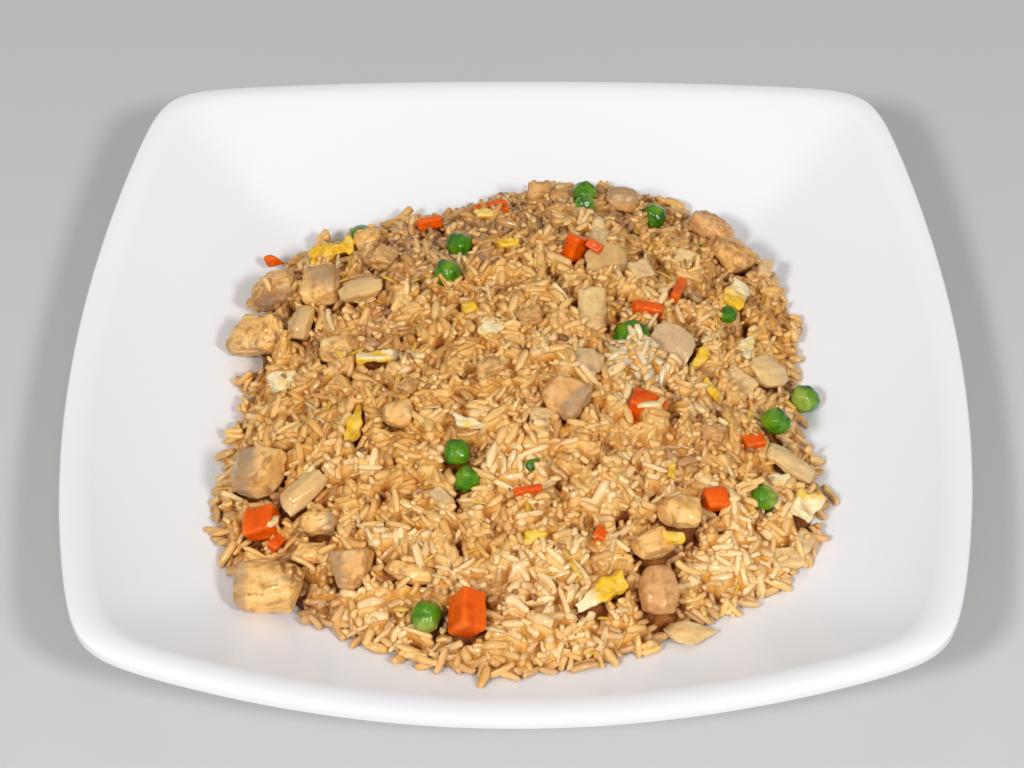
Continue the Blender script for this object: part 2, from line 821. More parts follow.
def lay_stuck(bed, settings, rng, in_heap):
    """Lays the grains that stick to the edges of the meat."""
    xs, ys = map_axes()
    inner = blurred(in_heap.astype(float), 6) > 0.97
    meat = heights_from(tree_of(STICKY_CHUNKS), xs, ys) > 0
    edge = blurred((bed.on_topping & meat & inner).astype(float), 3)
    rows, columns = np.nonzero((edge > 0.3) & (edge < 0.62) & (bed.height > bed.plate + 4 * MM))
    left = settings.stuck_count
    for pick in rng.permutation(len(rows)):
        if not left:
            break
        row, column = rows[pick], columns[pick]
        half_length, half_width = grain_size(settings, rng)
        ceiling = bed.height[row - 4 : row + 5, column - 4 : column + 5].mean() + 2.6 * MM
        half_length *= 0.9
        left -= bed.lay(row, column, half_length, half_width, ceiling, math.radians(12), over_toppings=True)


def lay_loose(bed, settings, rng, in_heap):
    """Lays the grains that have rolled off the heap."""
    edge = blurred(in_heap.astype(float), 3)
    rows, columns = np.nonzero((edge > 0.35) & (edge < 0.65))
    left = settings.loose_count
    for _ in range(settings.loose_count * 6):
        if not left:
            break
        pick = rng.integers(len(rows))
        away = min(rng.exponential(LOOSE_SPREAD), LOOSE_REACH) / CELL
        angle = math.atan2(bed.ys[rows[pick]] - HEAP_LOW.y / 2, bed.xs[columns[pick]])
        row = int(rows[pick] + away * math.sin(angle))
        column = int(columns[pick] + away * math.cos(angle))
        half_length, half_width = grain_size(settings, rng)
        left -= bed.lay(row, column, half_length, half_width, 1, math.radians(5))


def grain_shape(number, bend):
    """A cooked grain, 2 long and 2 wide before it is sized: blunt at both ends and a little crumpled."""
    name = f"grain_shape_{number}"
    grain = add_primitive(name, bpy.ops.mesh.primitive_uv_sphere_add, segments=6, ring_count=6, radius=1)
    lying = {"value": math.pi / 2, "orient_axis": "Y", "center_override": (0, 0, 0)}
    edit_all(grain, (bpy.ops.transform.rotate, lying))
    places = points_of(grain)
    ends = (np.abs(places[:, 0]) > 0.7) & (np.abs(places[:, 0]) < 0.95)
    places[ends, 1:] *= 1.36
    places[:, 0] = np.sign(places[:, 0]) * np.abs(places[:, 0]) ** 0.9
    start = Vector((number * 7.1, 0, 0))
    crumple = np.array([noise.noise_vector(Vector(place) * 1.7 + start) for place in places])
    places += crumple * (0.12, 0.44, 0.4)
    places[:, 2] = places[:, 2] * 0.84 - bend * (places[:, 0] ** 2 - 0.4)
    set_points(grain, places)
    smooth_faces(grain)
    return grain


def instancing_tree(shapes):
    """Geometry Nodes that stand one of the shapes on every point, turned and sized by its attributes."""
    tree = bpy.data.node_groups.new("lay_pieces", "GeometryNodeTree")
    tree.interface.new_socket("Geometry", in_out="INPUT", socket_type="NodeSocketGeometry")
    tree.interface.new_socket("Geometry", in_out="OUTPUT", socket_type="NodeSocketGeometry")
    nodes, links = tree.nodes, tree.links
    points = nodes.new("NodeGroupInput")
    result = nodes.new("NodeGroupOutput")
    choices = nodes.new("GeometryNodeJoinGeometry")
    for shape in shapes:
        info = nodes.new("GeometryNodeObjectInfo")
        info.inputs["Object"].default_value = shape
        info.inputs["As Instance"].default_value = True
        links.new(info.outputs["Geometry"], choices.inputs[0])
    stand = nodes.new("GeometryNodeInstanceOnPoints")
    stand.inputs["Pick Instance"].default_value = True
    real = nodes.new("GeometryNodeRealizeInstances")
    turn = nodes.new("FunctionNodeEulerToRotation")
    for name, kind, target in (
        ("shape", "INT", stand.inputs["Instance Index"]),
        ("turn", "FLOAT_VECTOR", turn.inputs[0]),
        ("size", "FLOAT_VECTOR", stand.inputs["Scale"]),
    ):
        read = nodes.new("GeometryNodeInputNamedAttribute")
        read.data_type = kind
        read.inputs["Name"].default_value = name
        links.new(read.outputs["Attribute"], target)
    links.new(points.outputs[0], stand.inputs["Points"])
    links.new(choices.outputs[0], stand.inputs["Instance"])
    links.new(turn.outputs[0], stand.inputs["Rotation"])
    links.new(stand.outputs[0], real.inputs[0])
    links.new(real.outputs[0], result.inputs[0])
    return tree


def scattered(name, shapes, places, turns, sizes, rng, **values):
    """One mesh of many copies of the shapes. Each of the values becomes an attribute of its copy."""
    mesh = bpy.data.meshes.new(name)
    mesh.vertices.add(len(places))
    mesh.vertices.foreach_set("co", np.asarray(places, np.float32).ravel())
    obj = bpy.data.objects.new(name, mesh)
    bpy.context.scene.collection.objects.link(obj)
    store(mesh, "turn", "FLOAT_VECTOR", turns)
    store(mesh, "size", "FLOAT_VECTOR", sizes)
    store(mesh, "shape", "INT", rng.integers(0, len(shapes), len(places)))
    for key, numbers in values.items():
        store(mesh, key, "FLOAT", numbers)
    modifier = obj.modifiers.new("lay_pieces", "NODES")
    modifier.node_group = instancing_tree(shapes)
    apply_modifiers(obj)
    for key in ("turn", "size", "shape"):
        layer = obj.data.attributes.get(key)
        if layer:
            obj.data.attributes.remove(layer)
    return obj


def spots_on_rice(bed, count, rng):
    """Random places on top of the finished rice, toppings left out."""
    xs, ys, *_, on_topping, in_heap = ground()
    rows, columns = np.nonzero(in_heap & ~on_topping)
    picks = rng.choice(len(rows), count, replace=False)
    rows, columns = rows[picks], columns[picks]
    return np.stack([xs[columns], ys[rows], bed.height[rows, columns]], 1)


def lying_turns(count, rng):
    """Turns of small things that lie nearly flat, any way round."""
    return rng.uniform(-0.5, 0.5, (count, 3)) + (0, 0, 1) * rng.uniform(0, math.tau, (count, 1))


def add_rice_crumbs(settings, bed, shapes, rng):
    """Broken bits of grain that stick to the others."""
    count = settings.crumb_count
    places = spots_on_rice(bed, count, rng)
    turns = lying_turns(count, rng)
    width = settings.grain_width * rng.uniform(0.2, 0.36, count)
    sizes = np.stack([width * rng.uniform(1.1, 2.1, count), width, width], 1)
    tint = np.clip(rng.normal(0.7, 0.25, count), 0, 1)
    stain = rng.uniform(0, 0.3, count)
    crumbs = scattered("rice_crumbs", shapes, places, turns, sizes, rng, tint=tint, stain=stain)
    material = grain_material("rice_crumbs", settings.pale, settings.golden, settings.stained)
    finish_piece(crumbs, material, "rice")


def grain_material(name, light, dark, stain):
    """Oily rice between two colours by its tint, with stained, dull and unfried grains."""
    made = Finish(name, roughness=0.3, IOR=1.4, Specular_Tint=WARM_SHEEN, **wet(0.5, 0.09), **soft(0.8, 1.2))
    made.shader.subsurface_method = "BURLEY"
    tint = made.ramp(made.attribute("tint"), (0.0, dark), (0.5, blended(dark, light, 0.6)), (1.0, light))
    mottle = made.noise(520, 3)
    colour = made.mix(made.remap(mottle, 0.38, 0.72, 0.0, 0.35), tint, darker(dark, 0.8))
    colour = made.mix(made.patchy("stain", 210, 3, 0.3, 0.65, 0.35, 1.0), colour, stain)
    colour = made.mix(made.math("MULTIPLY", made.attribute("dull"), 0.75), colour, DULL_RICE)
    colour = made.mix(made.math("MULTIPLY", made.attribute("unfried"), 0.8), colour, UNFRIED_RICE)
    made.bump(made.noise(650, 3), 0.22 * MM, 0.8)
    return made.finish(colour, made.remap(made.noise(900, 2), 0.3, 0.7, 0.24, 0.46))


# ---------------------------------------------------------------- operators


class FRIEDRICE_OT_plate(bpy.types.Operator):
    """Turn the plate's profile round, draw it out to the bowed square, and glaze it."""

    bl_idname = "fried_rice.plate"
    bl_label = "Plate"

    def execute(self, context):
        settings = context.scene.fried_rice_plate
        plate = turned_plate()
        x, y, z = points_of(plate).T
        material = glaze_material(settings)
        away = oil_distance(x, y)
        wet = 1 - smoothstep(away, 0, OIL_REACH)
        ragged = np.array([noise.noise(Vector((a * 60, b * 60, 2))) for a, b in zip(x, y)])
        towards_left = smoothstep(0.6 * y - x, 0.02, 0.11)
        paint(plate, "oil", np.where(z > WELL_HEIGHT - 1e-4, wet * towards_left * (0.75 + 0.7 * ragged), 0))
        finish_piece(plate, material, "melamine", "plate")
        return {"FINISHED"}


def plate_profile():
    """The plate's section at the middle of a side, from the well over the rim and under to the foot."""
    top = [(share * PLATE_HALF, coupe_height(share)) for share in np.linspace(0, LIP_SHARE, PLATE_RINGS)]
    lip = []
    for centre_x, centre_z, start in (
        (PLATE_HALF - LIP_ROUND, RIM_HEIGHT - LIP_ROUND, 90),
        (PLATE_HALF - LIP_ROUND, RIM_HEIGHT - LIP_DEPTH + LIP_ROUND, 0),
    ):
        for step in range(5):
            angle = math.radians(start - step * 90 / 4)
            lip.append((centre_x + LIP_ROUND * math.cos(angle), centre_z + LIP_ROUND * math.sin(angle)))
    inward = np.linspace(0.955, FOOT_OUTER + 0.012, 14)
    under = [(share * PLATE_HALF, coupe_height(share) - WALL) for share in inward]
    foot = [
        (FOOT_OUTER * PLATE_HALF, coupe_height(FOOT_OUTER) - WALL - 1.5 * MM),
        (FOOT_OUTER * PLATE_HALF, 0.6 * MM),
        (FOOT_OUTER * PLATE_HALF - 0.6 * MM, 0),
        (FOOT_INNER * PLATE_HALF + 0.6 * MM, 0),
        (FOOT_INNER * PLATE_HALF, 0.6 * MM),
        (FOOT_INNER * PLATE_HALF, coupe_height(FOOT_INNER) - WALL),
    ]
    hollow = [(share * PLATE_HALF, WELL_HEIGHT - WALL) for share in (0.3, 0.15, 0)]
    return [*top, *lip, *under, *foot, *hollow]


def turned_plate():
    """Spins the profile, then draws the round blank out to the bowed square."""
    profile = plate_profile()
    mesh = bpy.data.meshes.new("coupe_plate")
    mesh.from_pydata([(x, 0, z) for x, z in profile], [(i, i + 1) for i in range(len(profile) - 1)], [])
    plate = bpy.data.objects.new("coupe_plate", mesh)
    bpy.context.scene.collection.objects.link(plate)
    full_turn = {"steps": PLATE_SECTORS, "angle": math.tau, "center": (0, 0, 0), "axis": (0, 0, 1)}
    edit_all(
        plate,
        (bpy.ops.mesh.spin, full_turn),
        (bpy.ops.mesh.select_all, {"action": "SELECT"}),
        (bpy.ops.mesh.remove_doubles, {"threshold": 0.01 * MM}),
        (bpy.ops.mesh.normals_make_consistent, {"inside": False}),
    )
    x, y, z = points_of(plate).T
    round_angle = np.arctan2(y, x)
    angle = round_angle + CORNER_CROWDING / 4 * np.sin(4 * round_angle)
    share = np.hypot(x, y) / PLATE_HALF
    out = share * plate_reach(angle)
    set_points(plate, np.stack([out * np.cos(angle), out * np.sin(angle), z + corner_rise(angle, share)], 1))
    smooth_faces(plate, math.radians(50))
    return plate


def oil_distance(x, y):
    """Rough distance of points on the plate from the rice."""
    xs, ys, *_, in_heap = ground()
    rows, columns = np.nonzero(in_heap[::8, ::8])
    rice = np.stack([xs[::8][columns], ys[::8][rows]], 1)
    here = np.stack([x, y], 1)
    nearest = np.full(len(here), 1.0)
    for start in range(0, len(rice), 200):
        block = rice[start : start + 200]
        nearest = np.minimum(nearest, np.linalg.norm(here[:, None] - block[None], axis=2).min(1))
    return nearest


def glaze_material(settings):
    made = Finish("white_glaze", roughness=0.16, IOR=1.5)
    cloudy = made.ramp(made.noise(9, 3), (0.3, darker(settings.glaze, 0.985)), (0.7, settings.glaze))
    colour = made.mix(made.attribute("oil"), cloudy, settings.oil)
    made.bump(made.noise(45, 2), 0.25 * MM, 0.08)
    return made.finish(colour, made.remap(made.noise(60, 4), 0.3, 0.7, 0.13, 0.22))


class FRIEDRICE_OT_core(bpy.types.Operator):
    """Make the smaller heap under the grains, whose top follows them as rice sticking together does."""

    bl_idname = "fried_rice.core"
    bl_label = "Rice Core"

    def execute(self, context):
        settings = context.scene.fried_rice_grains
        columns, rows = {"x_subdivisions": CORE_COLUMNS}, {"y_subdivisions": CORE_ROWS}
        core = add_primitive("rice_core", bpy.ops.mesh.primitive_grid_add, size=2, **columns, **rows)
        down = {"TRANSFORM_OT_translate": {"value": (0, 0, -1)}}
        edit_all(
            core,
            (bpy.ops.mesh.region_to_loop, {}),
            (bpy.ops.mesh.extrude_region_move, down),
            (bpy.ops.mesh.extrude_region_move, down),
            (bpy.ops.mesh.merge, {"type": "CENTER"}),
            (bpy.ops.mesh.select_all, {"action": "SELECT"}),
            (bpy.ops.mesh.normals_make_consistent, {"inside": False}),
        )
        u, v, w = points_of(core).T
        x, y = heap_places(u * np.sqrt(1 - v * v / 2), v * np.sqrt(1 - u * u / 2))
        bed, _ = laid_rice()
        _, _, plate, outline, *_ = ground()
        film = np.where(bed.on_topping, outline - CORE_UNDER_TOPPING, bed.height - settings.sticking)
        bottom = sampled(plate, x, y) + 0.4 * MM
        top = np.maximum(sampled(blurred(film, 1), x, y), bottom + 0.4 * MM)
        set_points(core, np.stack([x, y, np.where(w > -0.5, top, bottom)], 1))
        smooth_faces(core)
        sunk = np.where(bed.on_topping, 2.4, (blurred(bed.height, 5) - bed.height) / MM)
        paint(core, "sunk", sampled(blurred(sunk, 1), x, y))
        finish_piece(core, core_material(settings), "rice")
        return {"FINISHED"}


def core_material(settings):
    """Rice that darkens with its depth between the grains."""
    made = Finish("rice_core", roughness=0.5, IOR=1.35, Specular_Tint=WARM_SHEEN, **soft(0.8, 1.4))
    made.shader.subsurface_method = "BURLEY"
    depth = made.math("ADD", made.attribute("sunk"), made.remap(made.noise(300, 3), 0.3, 0.7, -0.7, 0.7))
    colour = made.ramp(
        made.remap(depth, -1.0, 3.0, 0.0, 1.0),
        (0.1, blended(settings.golden, settings.pale, 0.45)),
        (0.32, blended(settings.stained, settings.golden, 0.6)),
        (0.55, (0.5, 0.19, 0.03)),
        (0.85, (0.2, 0.052, 0.012)),
    )
    made.bump(made.noise(900, 3), 0.3 * MM, 0.7)
    return made.finish(colour)


def heap_places(across, along):
    """Where points of a round blank of radius 1 come to lie when it is drawn out to the heap's outline."""
    centre_x, centre_y = (HEAP_LOW.x + HEAP_HIGH.x) / 2, (HEAP_LOW.y + HEAP_HIGH.y) / 2
    steps = np.linspace(-math.pi, math.pi, 181)
    reaches = [core_reach((centre_x, centre_y), step) for step in steps]
    reach = np.interp(np.arctan2(along, across), steps, reaches)
    return centre_x + across * reach, centre_y + along * reach


@functools.lru_cache(maxsize=None)
def core_reach(centre, angle):
    """Distance from the heap's middle to where the rice gets too thin for a core."""
    xs, ys, plate, outline, *_ = ground()
    reach = 30 * MM
    while reach < 130 * MM:
        x = centre[0] + reach * math.cos(angle)
        y = centre[1] + reach * math.sin(angle)
        row, column = int((y - ys[0]) / CELL), int((x - xs[0]) / CELL)
        if not (0 <= row < len(ys) and 0 <= column < len(xs)):
            break
        if outline[row, column] - plate[row, column] < CORE_THINNEST:
            break
        reach += 1 * MM
    return reach - 1.5 * MM


def sampled(values, x, y):
    """A map's values at places on it."""
    xs, ys = map_axes()
    rows = np.clip(((np.asarray(y) - ys[0]) / CELL).round().astype(int), 0, len(ys) - 1)
    columns = np.clip(((np.asarray(x) - xs[0]) / CELL).round().astype(int), 0, len(xs) - 1)
    return values[rows, columns]


class FRIEDRICE_OT_grains(bpy.types.Operator):
    """Lay the grains one on another over the core, and a few beside the heap."""

    bl_idname = "fried_rice.grains"
    bl_label = "Rice Grains"

    def execute(self, context):
        settings = context.scene.fried_rice_grains
        rng = np.random.default_rng(settings.seed + 1)
        bed, heap_count = laid_rice()
        places = np.array(bed.laid.places)
        turns = np.array(bed.laid.turns)
        half_length, half_width = np.array(bed.laid.sizes).T
        flatness = rng.uniform(0.72, 1.0, len(places))
        fullness = rng.uniform(0.85, 1.12, len(places))
        sizes = np.stack([half_length, half_width * fullness, half_width * flatness], 1)
        looks = grain_looks(bed, places, rng)
        kind = np.digitize(looks["tint"] + rng.normal(0, 0.06, len(places)), TINT_BORDERS)
        loose = np.arange(len(places)) >= heap_count
        shapes = [grain_shape(number, bend) for number, bend in enumerate(GRAIN_BENDS)]
        colours = grain_colours(settings)
        groups = [(name, (kind == number) & ~loose) for number, name in enumerate(colours)]
        groups.append(("loose", loose))
        for name, chosen in groups:
            light, deep = colours.get(name, colours["golden"])
            values = {key: numbers[chosen] for key, numbers in looks.items()}
            laid = places[chosen], turns[chosen], sizes[chosen]
            grains = scattered(f"rice_{name}", shapes, *laid, rng, **values)
            finish_piece(grains, grain_material(f"rice_{name}", light, deep, settings.stained), "rice")
        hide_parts("rice_heap")
        add_rice_crumbs(settings, bed, shapes, rng)
        for shape in shapes:
            bpy.data.objects.remove(shape)
        return {"FINISHED"}


def grain_looks(bed, places, rng):
    """Each grain's tint, and how stained, dull and unfried it is, by where it lies."""
    xs, ys = map_axes()
    x, y, z = places.T
    pale = sampled(patch_map(xs, ys, PALE_CLUMPS), x, y)
    dark = sampled(patch_map(xs, ys, DARK_PATCHES), x, y)
    hollow = sampled(blurred(bed.height, 11) - blurred(bed.height, 3), x, y) / MM
    hollow = np.clip(hollow, -1, 1.6)
    clumps = sampled(rough_map(xs, ys, 13 * MM, 1.3), x, y)
    creamy = 0.2 * smoothstep(x * 0.5 - y, 0, 90 * MM) - 0.06
    buried = (sampled(blurred(bed.height, 4), x, y) - z) / (2 * MM)
    tint = rng.normal(0.57, 0.09, len(places)) + 0.3 * clumps + pale + creamy - 0.3 * dark - 0.12 * hollow
    stain = 0.12 + 0.2 * dark + 0.1 * hollow + 0.16 * buried - 0.3 * pale
    return {
        "tint": np.clip(tint, 0, 1),
        "stain": np.clip(stain + rng.normal(0, 0.1, len(places)), 0, 0.85),
        "dull": np.clip(dark + 0.45 * hollow, 0, 1),
        "unfried": sampled(patch_map(xs, ys, UNFRIED_CLUMPS), x, y),
    }


def grain_colours(settings):
    """Light and deep colour of each kind of grain, from toasted to pale."""
    pale, golden, stained = settings.pale, settings.golden, settings.stained
    return {
        "toasted": (blended(golden, stained, 0.35), blended(golden, stained, 0.75)),
        "tan": (blended(golden, pale, 0.25), blended(golden, stained, 0.3)),
        "golden": (blended(pale, golden, 0.35), blended(golden, stained, 0.12)),
        "straw": (blended(pale, golden, 0.25), blended(golden, stained, 0.06)),
        "pale": (blended(pale, (1, 0.78, 0.5), 0.3), blended(golden, pale, 0.6)),
    }


# ---------------------------------------------------------------- toppings


def copied_solid(node, name):
    """A copy of a CAD node's mesh, its loose triangles merged, to be worked into the piece."""
    piece = bpy.data.objects.new(name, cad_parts[node].data.copy())
    bpy.context.scene.collection.objects.link(piece)
    edit_all(
        piece,
        (bpy.ops.mesh.remove_doubles, {"threshold": 0.002 * MM}),
        (bpy.ops.mesh.normals_make_consistent, {"inside": False}),
    )
    for attribute in list(piece.data.attributes):
        if not attribute.is_required and attribute.name not in ("position", "sharp_face"):
            piece.data.attributes.remove(attribute)
    return piece


def remesh(obj, voxel, smoothing):
    """Even small faces all over, then so many rounds of smoothing."""
    grid = obj.modifiers.new("even_faces", "REMESH")
    grid.mode = "VOXEL"
    grid.voxel_size = voxel
    if smoothing:
        relax(obj, smoothing)


def edge_pairs(obj):
    pairs = np.empty(len(obj.data.edges) * 2, np.int32)
    obj.data.edges.foreach_get("vertices", pairs)
    return pairs.reshape(-1, 2)


def averaged(values, pairs, rounds):
    """Each point's value smoothed over its neighbours."""
    count = np.bincount(pairs.ravel(), minlength=len(values))[:, None]
    for _ in range(rounds):
        total = np.zeros_like(values)
        for axis in range(values.shape[1]):
            total[:, axis] = np.bincount(pairs[:, 0], values[pairs[:, 1], axis], len(values))
            total[:, axis] += np.bincount(pairs[:, 1], values[pairs[:, 0], axis], len(values))
        values = (values + total) / (count + 1)
    return values


def normals_of(obj):
    normals = np.empty(len(obj.data.vertices) * 3, np.float32)
    obj.data.vertices.foreach_get("normal", normals)
    return normals.reshape(-1, 3).astype(float)


def paint_shape(obj):
    """Stores how proud the surface stands, 0 in hollows and 1 on edges, and its points by its own axes."""
    places, pairs = points_of(obj), edge_pairs(obj)
    proud = ((places - averaged(places, pairs, 14)) * normals_of(obj)).sum(1)
    paint(obj, "proud", np.clip(0.5 + proud / (0.9 * MM), 0, 1))
    store(obj.data, "own", "FLOAT_VECTOR", own_axes(places))


def middle_and_half(places):
    """The middle of the box round some points, and half its sides."""
    return (places.max(0) + places.min(0)) / 2, (places.max(0) - places.min(0)) / 2


def paint_side(obj, name, side, low=-0.1, high=0.5):
    """Stores 1 on the piece's end towards a side, 0 on the other, with a soft border."""
    places = points_of(obj)
    middle, half = middle_and_half(places)
    towards = ((places - middle) / half) @ (np.array(side) / np.linalg.norm(side))
    paint(obj, name, smoothstep(towards, low, high))


def carve(obj, rng, cuts, low=0.6, high=0.85):
    """Presses flat facets into a piece, as cutting and tearing leave them, and keeps its box."""
    places = points_of(obj)
    lowest, highest = places.min(0), places.max(0)
    middle = (lowest + highest) / 2
    for _ in range(cuts):
        normal = rng.normal(size=3)
        normal /= np.linalg.norm(normal)
        reach = (places - middle) @ normal
        over = np.maximum(reach - reach.max() * rng.uniform(low, high), 0)
        places -= 0.92 * over[:, None] * normal
    carved_low, carved_high = places.min(0), places.max(0)
    places = lowest + (places - carved_low) * (highest - lowest) / (carved_high - carved_low)
    set_points(obj, places)


# Which side of a piece narrows, and what share of its section is left there
TAPERS = {
    "carrot_9": ((1, 0.2, 0), 0.15),
    "carrot_4": ((0.7, 0.7, 0), 0.7),
    "egg_1": ((0, 1, 0), 0.3),
    "egg_3": ((-1, -0.7, 0), 0.45),
    "egg_5": ((1, 0, 0), 0.5),
    "onion_10": ((1, 0.1, 0), 0.6),
}


def taper(obj, side, share):
    """Narrows a piece towards a side, where the share of its section is left."""
    places = points_of(obj)
    middle, half = middle_and_half(places)
    direction = np.array(side) / np.linalg.norm(side)
    towards = smoothstep(((places - middle) / half) @ direction, -0.4, 1.1)[:, None]
    along = ((places - middle) @ direction)[:, None] * direction
    base = np.array((0, 0, -half[2]))
    section = places - middle - along - base
    set_points(obj, middle + along + base + section * (1 - (1 - share) * towards))


def make_rounder(obj, share):
    """Moves a piece so far towards the ellipsoid that fills its box."""
    places = points_of(obj)
    middle, half = middle_and_half(places)
    unit = (places - middle) / half
    reach = np.linalg.norm(unit, axis=1)[:, None]
    set_points(obj, middle + half * unit * (1 - share + share / np.maximum(reach, 0.2)))


def make_boxier(obj, share):
    """Moves a piece so far towards its box, as a straight cut leaves it."""
    places = points_of(obj)
    middle, half = middle_and_half(places)
    unit = (places - middle) / half
    most = np.abs(unit).max(1)[:, None]
    set_points(obj, middle + half * unit * (1 - share + 0.95 * share / np.maximum(most, 0.3)))


def own_axes(places):
    """A piece's points about its middle, along its longest, middle and shortest axis."""
    centred = places - places.mean(0)
    _, axes = np.linalg.eigh(centred.T @ centred)
    return centred @ axes[:, ::-1]


def raise_fibres(obj, depth, spacing, start):
    """Raises bundles of fibres that run along the piece."""
    places = points_of(obj)
    along, across, up = own_axes(places).T / spacing
    spots = np.stack([along * 0.22 + start, across + 0.25 * along, up], 1)
    ridges = np.array([1 - 2.6 * abs(noise.noise(Vector(spot))) for spot in spots])
    set_points(obj, places + normals_of(obj) * (ridges * depth)[:, None])


def nodes_named(kind):
    names = [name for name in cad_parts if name.rpartition("_")[0] == kind]
    return sorted(names, key=lambda name: int(name.rpartition("_")[2]))


def scrap_block(kind, number, scrap, bed):
    """A small block or flake, laid on the finished rice."""
    z = float(sampled(bed.height, scrap.x * MM, scrap.y * MM)) + scrap.lift * MM
    turn = (math.radians(scrap.pitch), math.radians(scrap.pitch * 0.4), math.radians(scrap.turn))
    size = (scrap.length * MM, scrap.width * MM, scrap.height * MM)
    block = add_primitive(
        f"{kind}_scrap_{number}", bpy.ops.mesh.primitive_cube_add, size=1,
        location=(scrap.x * MM, scrap.y * MM, z), rotation=turn, scale=size,
    )
    bpy.ops.object.transform_apply(location=True, rotation=True, scale=True)
    return block


def joined(name, objects):
    """Several objects made one, under a new name."""
    activate(objects[0])
    for obj in objects:
        obj.select_set(True)
    bpy.ops.object.join()
    whole = bpy.context.active_object
    whole.name = whole.data.name = name
    bpy.ops.object.transform_apply(location=True, rotation=True, scale=True)
    return whole


def add_scraps(kind, scraps, work, material):
    """Makes a kind's small scraps and joins them. Work shapes one block."""
    bed, _ = laid_rice()
    pieces = []
    for number, scrap in enumerate(scraps, 1):
        block = scrap_block(kind, number, scrap, bed)
        work(block, number)
        pieces.append(block)
    finish_piece(joined(f"{kind}_scraps", pieces), material, kind)


class FRIEDRICE_OT_peas(bpy.types.Operator):
    """Round and dent each pea, give it its waxy skin, and add the small pea scraps."""

    bl_idname = "fried_rice.peas"
    bl_label = "Peas"

    def execute(self, context):
        settings = context.scene.fried_rice_toppings
        material = pea_material(settings)
        for node in nodes_named("pea"):
            pea = copied_solid(node, f"{node}_cooked")
            subdivide_smooth(pea, 2)
            displace(pea, f"{node}_dents", 3.2 * MM, 1.7 * MM)
            displace(pea, f"{node}_flats", 6 * MM, 1.2 * MM)
            displace(pea, f"{node}_skin", 0.9 * MM, 0.12 * MM)
            apply_modifiers(pea)
            smooth_faces(pea)
            paint_shape(pea)
            paint_side(pea, "pale", PALE_SIDES.get(node, (0.3, 0.2, -1)), 0.1, 1.0)
            finish_piece(pea, material, "pea", node)
        add_scraps("pea", PEA_SCRAPS, work_pea_scrap, material)
        return {"FINISHED"}


def work_pea_scrap(block, number):
    """Rounds a block to a small, dented pea."""
    subdivide_smooth(block, 4)
    displace(block, f"pea_scrap_dents_{number}", 3 * MM, 1.4 * MM)
    apply_modifiers(block)
    smooth_faces(block)
    paint_shape(block)
    paint(block, "pale", 0)


# The side where a pea's skin is split and pale
PALE_SIDES = {
    "pea_7": (-0.6, -0.6, 0.5),
    "pea_12": (0, -0.8, -0.3),
    "pea_11": (1, 0.2, 0.4),
}


def pea_material(settings):
    made = Finish("pea_skin", roughness=0.24, IOR=1.4, **wet(0.3, 0.05), **soft(0.2))
    green = made.ramp(
        made.noise(230, 3),
        (0.32, darker(settings.pea, 0.36)),
        (0.5, settings.pea),
        (0.75, blended(settings.pea, (0.4, 0.5, 0.02), 0.45)),
    )
    colour = made.mix(made.patchy("pale", 330, 2, 0.35, 0.6, 0.25, 1.0), green, (0.4, 0.47, 0.08))
    hollow = made.remap(made.attribute("proud"), 0.5, 0.2, 0.0, 0.7)
    colour = made.mix(hollow, colour, darker(settings.pea, 0.4))
    made.bump(made.noise(900, 2), 0.1 * MM, 0.45)
    return made.finish(colour, made.remap(made.noise(500, 3), 0.35, 0.7, 0.18, 0.36))


class FRIEDRICE_OT_carrots(bpy.types.Operator):
    """Soften the carrot dice's cut edges, roughen their faces, and add the carrot scraps."""

    bl_idname = "fried_rice.carrots"
    bl_label = "Carrots"

    def execute(self, context):
        settings = context.scene.fried_rice_toppings
        material = carrot_material(settings)
        for node in nodes_named("carrot"):
            dice = copied_solid(node, f"{node}_cooked")
            remesh(dice, 0.34 * MM, 3)
            displace(dice, f"{node}_cut", 3.2 * MM, 0.55 * MM)
            displace(dice, f"{node}_grain", 0.8 * MM, 0.12 * MM)
            apply_modifiers(dice)
            if node in TAPERS:
                taper(dice, *TAPERS[node])
            smooth_faces(dice)
            paint_shape(dice)
            paint_side(dice, "deep", DEEP_SIDES.get(node, (0, 0, -1)), 0.2, 0.9)
            finish_piece(dice, material, "carrot", node)
        add_scraps("carrot", CARROT_SCRAPS, work_carrot_scrap, material)
        return {"FINISHED"}


# The side where a carrot is dark red
DEEP_SIDES = {
    "carrot_3": (-1, 0, 0),
    "carrot_4": (-0.8, 0.3, 0),
    "carrot_10": (-0.7, 0.5, 0),
}


def work_carrot_scrap(block, number):
    """Softens a block to a bit of diced carrot."""
    soften = block.modifiers.new("soft_edges", "BEVEL")
    soften.width = 0.4 * MM
    soften.segments = 2
    remesh(block, 0.3 * MM, 2)
    displace(block, f"carrot_scrap_cut_{number}", 2 * MM, 0.7 * MM)
    apply_modifiers(block)
    smooth_faces(block)
    paint_shape(block)
    paint(block, "deep", 0.3)


def carrot_material(settings):
    made = Finish("carrot_flesh", roughness=0.32, IOR=1.33, **wet(0.12, 0.1), **soft(0.2))
    orange = made.ramp(
        made.noise(190, 4, distortion=0.6),
        (0.28, darker(settings.carrot, 0.72)),
        (0.5, settings.carrot),
        (0.75, blended(settings.carrot, (0.95, 0.22, 0.0), 0.5)),
    )
    colour = made.mix(made.patchy("deep", 260, 2, 0.3, 0.6, 0.3, 1.0), orange, (0.55, 0.04, 0.004))
    colour = made.mix(made.remap(made.attribute("proud"), 0.62, 0.95, 0.0, 0.35), colour, (0.95, 0.24, 0.01))
    made.bump(made.noise(1100, 3), 0.12 * MM, 0.5)
    return made.finish(colour, made.remap(made.noise(420, 3), 0.35, 0.7, 0.22, 0.45))


